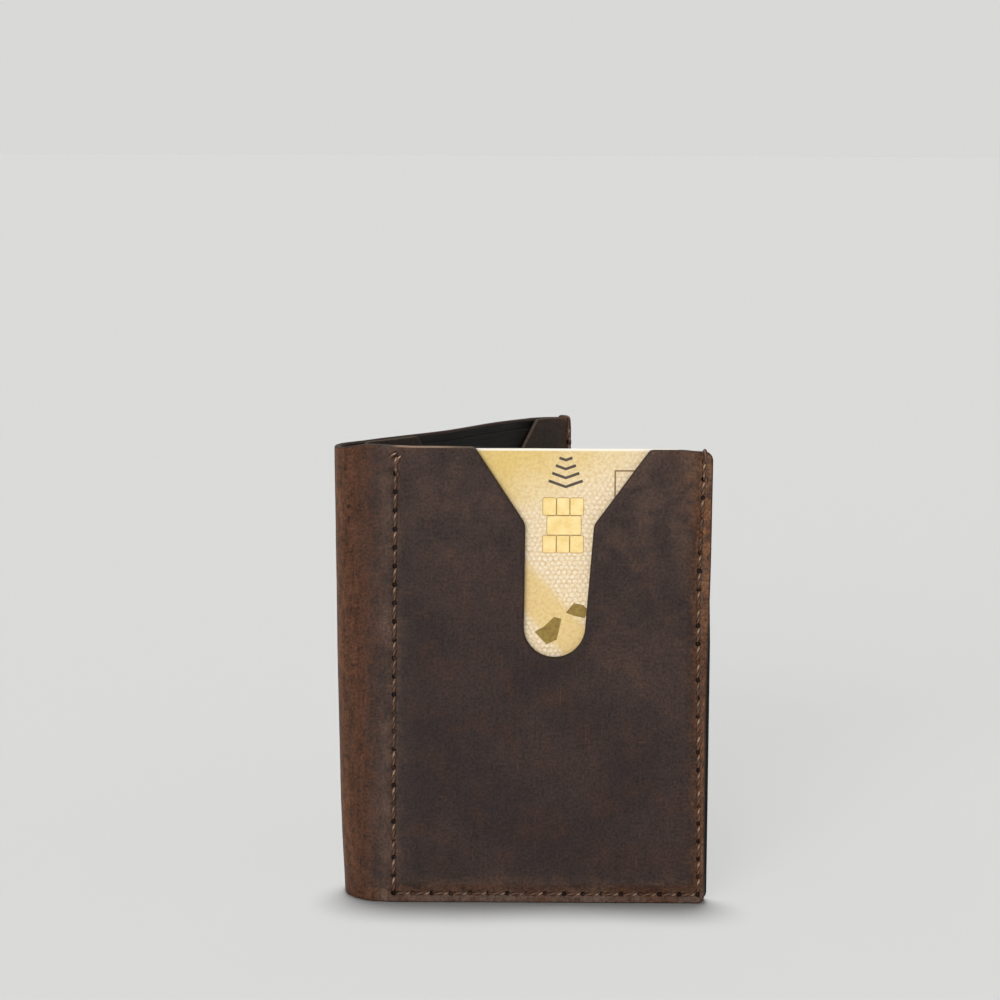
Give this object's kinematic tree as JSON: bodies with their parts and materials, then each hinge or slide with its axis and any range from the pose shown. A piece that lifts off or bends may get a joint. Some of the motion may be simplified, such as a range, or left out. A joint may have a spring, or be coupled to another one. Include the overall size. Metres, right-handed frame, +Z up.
{
  "type": "bifold wallet",
  "caption": "Slim upright bifold wallet in brown leather, with a thumb-cut quick-access card pocket, black lining and inner card slots.",
  "frame": {"origin": "centre of the footprint of the standing, half-open wallet, at its bottom edge", "axes": "+Z up along the spine, +X along the front panel towards its free edge, +Y away from the front panel's face"},
  "size_m": [0.0822, 0.0694, 0.1],
  "materials": {
    "cover_leather": "waxed pull-up leather, dark grey-brown, redder where it bends",
    "pocket_leather": "thin waxed leather, dark brown",
    "lining": "black smooth woven lining",
    "thread": "waxed tan-brown thread",
    "card": "pale gold laminated card with a fine dot pattern",
    "chip": "gold-plated contact plate"
  },
  "bodies": {
    "front_half": {"front_cover": "cover_leather", "front_pocket_lining": "lining", "front_slot_backing": "lining", "front_upper_slot": "pocket_leather", "front_lower_slot": "pocket_leather", "front_outer_thread": "thread", "front_inner_thread": "thread"},
    "spine": {"spine_cover": "cover_leather", "spine_lining": "lining"},
    "back_half": {"back_cover": "cover_leather", "back_lining": "lining", "note_pocket_wall": "lining", "back_pocket_leaf": "pocket_leather", "back_outer_thread": "thread", "back_inner_thread": "thread"},
    "card": {"payment_card": "card", "card_chip": "chip"}
  },
  "joints": [
    {"name": "front_fold", "type": "hinge", "parent": "front_half", "child": "spine", "pos_m": [-0.03723, -0.03235, 0.05], "axis": [0, 0, 1], "range_deg": [-24, 66]},
    {"name": "back_fold", "type": "hinge", "parent": "spine", "child": "back_half", "pos_m": [-0.041, -0.02389, 0.05], "axis": [0, 0, 1], "range_deg": [-24, 66]},
    {"name": "card_slide", "type": "slide", "parent": "front_half", "child": "card", "axis": [0, 0, 1], "range_m": [-0.0095, 0.09]}
  ],
  "couplings": [
    {"joint": "front_fold", "follows": "back_fold", "ratio": 1}
  ]
}
